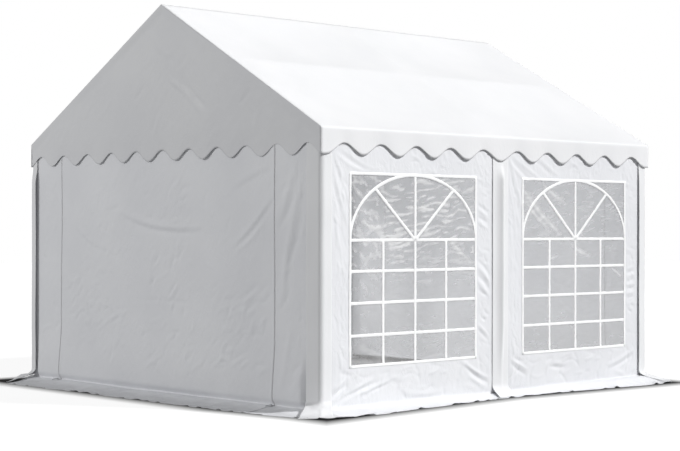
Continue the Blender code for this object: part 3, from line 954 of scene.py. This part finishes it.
def end_relief(u, v, wall, seed):
    """Folds of an end wall, continuous over its door and side panels."""
    relief = 0.0012 * crumple(u, v, 0.07, seed) + 0.005 * smooth_noise(u, v, 0.5, seed)
    main, front_u = 0 * relief, MIRROR[wall] * u
    add_folds(front_u, v, main, metres(END_STEPS), step=True)
    add_folds(front_u, v, main, metres(END_FOLDS))
    relief = relief + main * (1 - 0.35 * ease((front_u - 1.44) / 0.05))
    clusters = (
        (24, (-1.4, -0.7, 0.55, 1.05), 0.5, 0.5, 0.12, 0.011, 0.0038),
        (20, (-1.4, -0.5, 0.3, 0.75), 0.7, 0.5, 0.13, 0.011, 0.0038),
        (16, (-0.3, 0.4, 0.25, 0.6), 0.8, 0.5, 0.12, 0.011, 0.0038),
        (14, (-0.2, 0.3, 0.7, 1.3), 1.0, 0.4, 0.14, 0.011, 0.0038),
        (26, (0.7, 1.35, 0.25, 1.0), 0.6, 0.35, 0.14, 0.012, 0.0042),
        (12, (0.2, 0.9, 0.2, 0.5), 0.7, 0.5, 0.12, 0.011, 0.0038),
        (10, (-0.4, 0.4, 1.45, 1.8), 1.2, 0.5, 0.13, 0.012, 0.0032),
        (16, (-1.4, -0.6, 1.1, 1.8), 0.3, 0.8, 0.12, 0.012, 0.0030),
        (14, (1.5, 1.85, 0.3, 1.9), 1.2, 0.5, 0.12, 0.012, 0.0035),
        (10, (-1.9, -1.5, 0.2, 1.9), 0.2, 0.8, 0.14, 0.012, 0.0030),
        (30, (-1.4, 1.4, 0.15, 1.9), 0.9, 0.9, 0.12, 0.012, 0.0025),
    )
    for number, (count, *rest) in enumerate(clusters):
        own = random_folds(seed + 10 + number, round(1.5 * count), *rest)
        add_folds(u, v, relief, own, 1.4, 0.85)
    relief = relief * ease((v - 0.035) / 0.06) + foot_bulge(u, v, 0.032, END_DROP, seed + 9)
    under_strip = 0.07 if wall == "front" else 0.155
    held = ease((WALL_FACE - np.abs(u) - np.where(u < 0, under_strip, 0.155)) / 0.05)
    return relief * held * ease((WALL_TOP - v) / 0.1)


def lip(u, v):
    """The raised hem beside each zip."""
    from_zip = np.abs(np.abs(u - DOOR_SHIFT) - DOOR_HALF)
    raised = ease((0.026 - from_zip) / 0.010) * ease((from_zip - 0.002) / 0.006)
    return LIP_HEIGHT * raised * ease((v - 0.03) / 0.03)


def make_end_wall(wall, seed, spacing, materials):
    """A door panel between two side panels, with a zip at each side of the door."""
    near, far, inner = DOOR_HALF + ZIP_GAP, WALL_FACE - PANEL_INSET, DOOR_HALF - ZIP_GAP
    edges = (near, near + 0.005, near + LIP_WIDTH)
    left = [-far, *(DOOR_SHIFT - x for x in reversed(edges))]
    right = [*(DOOR_SHIFT + x for x in edges), far]
    door = (-inner, 0.005 - inner, LIP_WIDTH - inner, inner - LIP_WIDTH, inner - 0.005, inner)
    spans = {
        "wall_left": (left, (-0.07 if wall == "front" else None, 0.018), 0.003),
        "door": ([DOOR_SHIFT + x for x in door], (0.006, 0.006), 0.0),
        "wall_right": (right, (0.018, None), 0.003),
    }
    hem = END_HEM
    if wall == "back":
        spans["wall_left"], spans["wall_right"] = spans["wall_right"], spans["wall_left"]
        hem = ([-x for x in reversed(END_HEM[0])], END_HEM[1][::-1])

    def relief(u, v):
        return end_relief(u, v, wall, seed) + lip(u, v)

    for kind, (stops, flap_ends, lift) in spans.items():
        u = ruled(stops, spacing)
        node = f"{wall}_{kind}"
        foot = foot_rows(u, hem, END_DROP, flap_ends, lift, seed + 30)
        mesh = wall_mesh(node, wall, u, relief, foot, spacing)
        add_sheet(
            node + "_sheet", mesh, materials["wall"], "wall", (node, "ground_flap_" + wall),
            flat=(stops[-1] - stops[0], WALL_TOP + 0.33),
            rests_on=["gable_tie_" + wall],
        )
    for number, side in enumerate((-1, 1)):
        u = DOOR_SHIFT + side * DOOR_HALF
        make_zip(f"zip_{wall}_{number + 1}", u, wall, hem, seed, relief, materials)


def make_zip(name, u, wall, hem, seed, relief, materials):
    """A zip from under the valance down over the fold, with its slider at the end."""
    columns = np.array((u - 0.01, u, u + 0.01))
    _, foot_out, foot_v = foot_rows(columns, hem, END_DROP, (0.0, 0.0), 0.0, seed + 30)
    kept = foot_out[:, 1] < 0.055
    upper_v = ruled([FOOT_START, WALL_TOP - 0.02], 0.03)[1:]
    v = np.concatenate([foot_v[kept, 1], upper_v])
    out = np.concatenate([foot_out[kept, 1], 0 * upper_v])
    above = 0.0035 * ease(out / 0.01)
    out = out + relief(u + 0 * v, v) - 0.0005
    line = bpy.data.curves.new(name, "CURVE")
    line.dimensions = "3D"
    line.bevel_depth = ZIP_RADIUS
    line.bevel_resolution = 2
    line.use_fill_caps = True
    spline = line.splines.new("POLY")
    spline.points.add(len(v) - 1)
    for point, place in zip(spline.points, on_wall(u + 0 * v, v + above, out, wall)):
        point.co = (*place, 1.0)
    add_piece(name, line, materials["zip"], "wall")
    make_slider(name + "_slider", u, v[0] + 0.008, out[0] + 0.004, wall, materials["slider"])


def make_slider(name, u, v, out, wall, material):
    """A zip slider: a waisted body with a pull tab, lying on the flap below its zip."""
    shape = (
        (0.0045, 0.012, 0.0), (0.0075, 0.009, 0.0), (0.006, 0.0, 0.0), (0.004, -0.010, 0.0),
        (0.003, -0.012, 0.001), (0.0035, -0.03, 0.001), (0.0045, -0.046, 0.0),
        (0.003, -0.05, 0.0),
    )
    rows = []
    for half, along, low in shape:
        section = ((-1, low), (-0.7, low + 0.003), (0.7, low + 0.003), (1, low))
        rows.append([(x * half, along, z) for x, z in section])
    rows = np.array(rows)[::-1]
    height = v + rows[..., 2] + 0.15 * rows[..., 1]
    points = on_wall(u + rows[..., 0], height, out - rows[..., 1], wall)
    piece = add_piece(name, grid_mesh(name, points), material, "steel")
    thicken(piece, 0.003, 0.0)


def ground_level(points):
    """Height of the ground flaps' upper face below these points."""
    x, y = points[..., 0], points[..., 1]
    past_side, past_end = np.abs(x) - WALL_FACE, np.abs(y) - WALL_FACE
    reach = np.where(past_end > past_side, np.interp(x, *END_HEM), np.interp(y, *SIDE_HEM))
    share = np.clip(np.maximum(past_end, past_side) / reach, 0, 1)
    return np.interp(share, *zip((0.0, 0.067), *FLAP_PATH, *HEM_PATH))


def tucked(height):
    """1 where the valance holds a strip flat on the wall and 0 below it."""
    return ease((height - TUCK_HEIGHT) / 0.15)


def strip_rows(plan_at, hem, quarters, seed, wave):
    """Rows of a strip that comes down a wall and runs out over the ground flap.

    plan_at gives the plan points at a height, and hem those of its edge on the ground.
    """
    rows = []
    for height in ruled([STRIP_FOOT, STRIP_TOP], 0.03)[::-1]:
        plan = plan_at(height)
        rows.append(np.column_stack([plan, np.full(len(plan), height)]))
    wall_plan = plan_at(STRIP_FOOT)
    out_plan = wall_plan + 0.30 * (hem - wall_plan)
    for share in np.linspace(0, 1, 19)[1:]:
        rest = 1 - share
        weights = (rest**3, 3 * rest**2 * share, 3 * rest * share**2, share**3)
        plan = (weights[0] + weights[1]) * wall_plan + weights[2] * out_plan + weights[3] * hem
        height = np.dot(weights, (STRIP_FOOT, 0.066, 0.062, 0.004))
        along = np.linspace(0, 1, len(plan))
        ripple = smooth_noise(along, share + 0 * along, 0.22, seed) * math.sin(math.pi * share)
        level = ground_level(turned(np.column_stack([plan, along]), quarters)) + 0.0045
        rows.append(np.column_stack([plan, np.maximum(height + wave * ripple, level)]))
    return np.array(rows)[::-1]


def corner_plan(first, second, proud, curve):
    """Plan points round a front right corner, from its front arm to its right arm."""
    face = WALL_FACE + proud
    points = [(x, -face) for x in ruled([WALL_FACE - first, face - curve], 0.01)]
    centre = face - curve
    for angle in np.linspace(-math.pi / 2, 0, 6)[1:-1]:
        across, along = curve * math.cos(angle), curve * math.sin(angle)
        points.append((centre + across, along - centre))
    points += [(face, x - face) for x in ruled([curve, proud + second], 0.01)]
    return np.array(points)


def make_corner_strip(name, corner, widths, proud, curve, loose, tips, seed, material):
    """A strip wrapped round a corner, which spreads into a tongue over the ground flaps.

    For its two arms, widths says how wide each is, loose how far its free edge stands off, and
    tips where its end lies, as (distance past the corner, distance out from the wall).
    """
    plan = corner_plan(*widths, proud, curve)
    share = np.linspace(0, 1, len(plan))
    first = np.array((WALL_FACE + tips[0][0], -(WALL_FACE + tips[0][1])))
    last = np.array((WALL_FACE + tips[1][1], -(WALL_FACE + tips[1][0])))
    hem = first + (last - first) * share[:, None]
    edge = loose[0] * ease(1 - share / 0.3) + loose[1] * ease(1 - (1 - share) / 0.3)
    turn = math.pi / 2 * ease((share - 0.35) / 0.3)
    outwards = np.column_stack([np.sin(turn), -np.cos(turn)])

    def plan_at(height):
        drift = smooth_noise(share * 0.3, height + 0 * share, 0.26, seed)
        sway = 1 + 0.35 * smooth_noise(height, 0.0, 0.3, seed + 2)
        stand_off = (0.0025 * drift + edge * sway) * (1 - tucked(height))
        stand_off = np.maximum(stand_off, -0.002) - max(proud - 0.010, 0) * tucked(height)
        return plan + outwards * stand_off[:, None]

    rows = strip_rows(plan_at, hem, corner, seed + 1, 0.003)
    node = "corner_strip_" + name
    mesh = grid_mesh(node, turned(rows, corner))
    add_sheet(
        node + "_sheet", mesh, material, "wall", [node],
        flat=(sum(widths) + 0.02, STRIP_TOP + 0.25),
        rests_on=["post_" + name],
    )


def make_corner_strips(material):
    strips = (
        ("front_right", (0.154, 0.1), 0.01, 0.038, (0.001, 0.0), ((0.077, 0.296), (0.081, 0.231))),
        ("back_right", (0.108, 0.150), 0.009, 0.034, (0.008, 0.01), ((0.068, 0.218), (0.08, 0.29))),
        ("back_left", (0.150, 0.110), 0.012, 0.03, (0.010, 0.010), ((0.08, 0.29), (0.08, 0.23))),
        ("front_left", (0.110, 0.066), 0.021, 0.02, (0.006, 0.007), ((0.0, 0.13), (-0.055, 0.325))),
    )
    for corner, (name, *sizes) in enumerate(strips):
        make_corner_strip(name, corner, *sizes, 401 + 10 * corner, material)


def middle_profile(u, height):
    """How far the middle strip stands out: a fold along it, which flattens at the foot."""
    places = (-0.091, -0.07, -0.05, -0.035, -0.02, -0.008, 0.002, 0.01, 0.02, 0.032, 0.045, 0.1)
    stands = (0.007, 0.008, 0.011, 0.016, 0.023, 0.031, 0.038, 0.040, 0.037, 0.024, 0.012, 0.006)
    level = np.interp(u, (-0.091, 0.05, 0.1), (0.006, 0.007, 0.005))
    deep = (0.12 + 0.88 * ease((height - 0.10) / 0.55)) * (1 - tucked(height))
    return level + (np.interp(u, places, stands) - level) * deep


def make_middle_strip(wall, seed, material):
    """The strip over the middle post, where the two wall panels meet."""
    u = ruled([-0.091, 0.1], 0.006)

    def plan_at(height):
        drift = 0.0012 * smooth_noise(u, height + 0 * u, 0.2, seed)
        return np.column_stack([u, -(WALL_FACE + middle_profile(u, height) + drift)])

    reach = np.interp(0.0, *SIDE_HEM) - 0.010
    hem = np.column_stack([u * 1.1, np.full(len(u), -(WALL_FACE + reach))])
    rows = strip_rows(plan_at, hem, 1, seed + 1, 0.002)
    node = f"middle_strip_{wall}"
    mesh = grid_mesh(node, stand(rows, wall), wall)
    add_sheet(
        node + "_sheet", mesh, material, "wall", [node],
        flat=(0.23, STRIP_TOP + reach),
        rests_on=[f"post_middle_{wall}"],
    )


def finish_steel():
    """Gives every tube and fitting of the frame its galvanised finish."""
    tubes = steel_material("galvanised_tube", (0.50, 0.52, 0.54), (0.68, 0.70, 0.72))
    fittings = steel_material("galvanised_fitting", (0.44, 0.46, 0.48), (0.62, 0.64, 0.66))
    for name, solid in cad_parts.items():
        if solid.hide_render:
            continue
        solid.data.materials.clear()
        solid.data.materials.append(fittings if "fitting" in name or "post" in name else tubes)


def make_floor():
    """A pale floor that glows outside the tent, so that the shadows on it stay faint; near the tent
    its glow fades out, a painted contact shadow.
    """
    bpy.ops.mesh.primitive_plane_add(size=FLOOR_SIZE)
    floor = bpy.context.object
    floor.name = "floor"
    material, shader, place = new_material("pale_floor")
    x, y, _ = split(place)
    out_x, out_y = combine("ABSOLUTE", x, 0.0), combine("ABSOLUTE", y, 0.0)
    side = combine("SUBTRACT", out_x, combine("MULTIPLY", out_y, 0.085))
    past_side = combine("SUBTRACT", side, WALL_FACE + SIDE_GLOW_START)
    end = combine("SUBTRACT", out_y, remap(x, 1.1, 1.98, 0.335, 0.21))
    past = combine("MAXIMUM", past_side, combine("SUBTRACT", end, WALL_FACE))
    # Painted contact shadow: the glow fades out just past the hems and is gone under the tent, and
    # the floor's own colour is darkest along the walls inside; the box it follows leaves dark
    # patches at the corners
    glow = remap(past, -0.05, 0.20, 0.0, FLOOR_GLOW)
    shade = combine("MULTIPLY", remap(noise(place, 0.6, 4.0), 0.3, 0.7, 0.9, 1.0), glow)
    indoors = remap(past, -0.7, -0.25, 0.5, 0.0)
    set_inputs(shader, {
        "Base Color": grey(combine("MAXIMUM", remap(shade, 0.0, 1.0, 0.05, 0.21), indoors)),
        "Roughness": 1.0,
        "Specular IOR Level": 0.0,
        "Emission Color": (1.0, 1.0, 1.0, 1.0),
        "Emission Strength": glow,
    })
    floor.data.materials.append(material)
    floor.visible_diffuse = False
    floor.visible_glossy = False


def make_sky():
    """Soft light from all round; the camera sees it plain white."""
    world = bpy.data.worlds.new("studio")
    bpy.context.scene.world = world
    world.use_nodes = True
    tree = world.node_tree
    tree.nodes.clear()
    height = split(add_node(tree, "ShaderNodeTexCoord").outputs["Generated"])[2]
    inputs = {"Color": (0.985, 0.992, 1.0, 1.0), "Strength": remap(height, -1.0, 1.0, 0.345, 0.305)}
    soft = add_node(tree, "ShaderNodeBackground", inputs).outputs[0]
    white = add_node(tree, "ShaderNodeBackground", {"Color": (1.0, 1.0, 1.0, 1.0)}).outputs[0]
    seen = add_node(tree, "ShaderNodeLightPath").outputs["Is Camera Ray"]
    mixed = add_node(tree, "ShaderNodeMixShader", {0: seen, 1: soft, 2: white})
    add_node(tree, "ShaderNodeOutputWorld", {"Surface": mixed.outputs[0]})


def add_lamp(name, kind, place, towards, **settings):
    """A lamp that shines from its place along the direction opposite to towards."""
    data = bpy.data.lights.new(name, kind)
    for key, value in settings.items():
        setattr(data, key, value)
    lamp = bpy.data.objects.new(name, data)
    lamp.location = place
    lamp.rotation_mode = "QUATERNION"
    lamp.rotation_quaternion = Vector(towards).to_track_quat("Z", "Y")
    lamp.visible_camera = False
    bpy.context.scene.collection.objects.link(lamp)
    return lamp


def make_lamps():
    """A soft key light on the windows' side, a fill along the gable and a faint lamp inside."""
    azimuth, elevation = math.radians(27), math.radians(38)
    level = math.cos(elevation)
    towards = (level * math.cos(azimuth), level * math.sin(azimuth), math.sin(elevation))
    add_lamp("key", "SUN", (0, 0, 10), towards, energy=1.06 * math.pi, angle=math.radians(4))
    disk = {"energy": 1480.0, "shape": "DISK", "size": 5.0}
    add_lamp("fill", "AREA", (-11.0, -17.5, 7.5), (-11.0, -15.5, 6.0), **disk)
    soft = {"energy": 60.0, "shadow_soft_size": 0.5}
    inside = add_lamp("inside", "POINT", (0.65, -0.6, 0.75), (0, 0, 1), **soft)
    inside.visible_glossy = False


def make_camera():
    """The photograph's view: seen corner on from about eye height."""
    data = bpy.data.cameras.new("camera")
    data.sensor_width = SENSOR_WIDTH
    data.lens = FOCAL_PIXELS / PHOTO_WIDTH * SENSOR_WIDTH
    data.shift_x = -CENTRE_OFFSET_PIXELS / PHOTO_WIDTH
    data.clip_end = 200.0
    camera = bpy.data.objects.new("camera", data)
    pan = Matrix.Rotation(CAMERA_AZIMUTH, 4, "Z")
    tilt = Matrix.Rotation(math.pi / 2 + CAMERA_ELEVATION, 4, "X")
    roll = Matrix.Rotation(CAMERA_ROLL, 4, "Z")
    camera.matrix_world = Matrix.Translation(CAMERA_PLACE) @ pan @ tilt @ roll
    bpy.context.scene.collection.objects.link(camera)
    bpy.context.scene.camera = camera


def main():
    make_camera()
    roof = pvc_material("roof_pvc", (0.80, 0.805, 0.818), (0.83, 0.832, 0.843), 0.25)
    # The gables' PVC is the roof's PVC made darker: painted shade on the gable triangles
    gable = pvc_material("gable_pvc_painted_shade", (0.69, 0.695, 0.713), (0.72, 0.725, 0.738), 0.35)
    wall = pvc_material("wall_pvc", (0.76, 0.767, 0.792), (0.80, 0.807, 0.828), 0.5)
    strip = pvc_material("strip_pvc", (0.783, 0.788, 0.80), (0.813, 0.818, 0.83), 0.2)
    materials = {
        "wall": wall,
        "film": film_material(),
        "tape": tape_material(),
        "zip": zip_material(),
        "slider": steel_material("zip_slider", (0.35, 0.36, 0.37), (0.55, 0.56, 0.57)),
    }
    make_roof(roof)
    make_gable("front", 31, 0.020, gable)
    make_gable("back", 47, 0.024, gable)
    for wall_name, seed, spacing in (("right", 101, 0.0125), ("left", 151, 0.016)):
        for end_name in ("front", "back"):
            make_side_wall(wall_name, end_name, seed, spacing, materials)
        make_middle_strip(wall_name, seed + 30, strip)
    make_end_wall("front", 201, 0.0165, materials)
    make_end_wall("back", 231, 0.020, materials)
    make_corner_strips(strip)
    finish_steel()
    make_floor()
    make_sky()
    make_lamps()
    bpy.context.scene.view_settings.view_transform = "Standard"


main()
